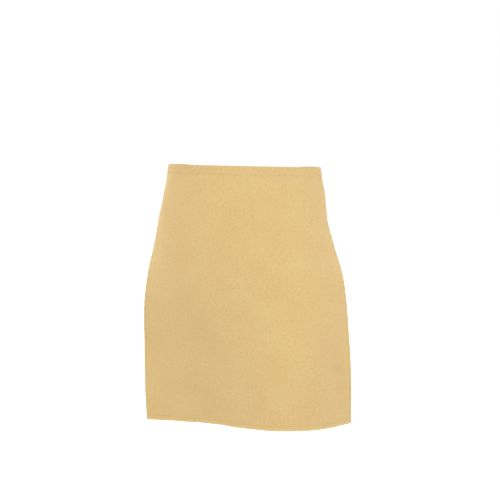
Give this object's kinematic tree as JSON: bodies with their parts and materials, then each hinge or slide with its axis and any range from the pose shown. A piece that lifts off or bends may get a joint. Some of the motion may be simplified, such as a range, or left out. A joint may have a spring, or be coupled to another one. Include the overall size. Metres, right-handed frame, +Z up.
{
  "type": "waist apron",
  "caption": "Plain hemmed waist apron of heavy golden woven cloth, hung in its worn shape from a webbing waist loop that closes in a clasp at the back.",
  "frame": {"origin": "centre of the waist loop, half way down the webbing where it is sewn to the panel", "axes": "+Z up, -Y to the wearer's front, +X to the wearer's left"},
  "size_m": [0.4899, 0.2867, 0.614],
  "materials": {
    "cloth": "matt heavy twill weave, golden tan",
    "webbing": "flat woven webbing, golden tan",
    "clasp": "fine-grained moulded plastic, brown"
  },
  "bodies": {
    "root": {"panel": "cloth", "strap_left": "webbing", "strap_right": "webbing", "buckle": "clasp"}
  },
  "joints": []
}
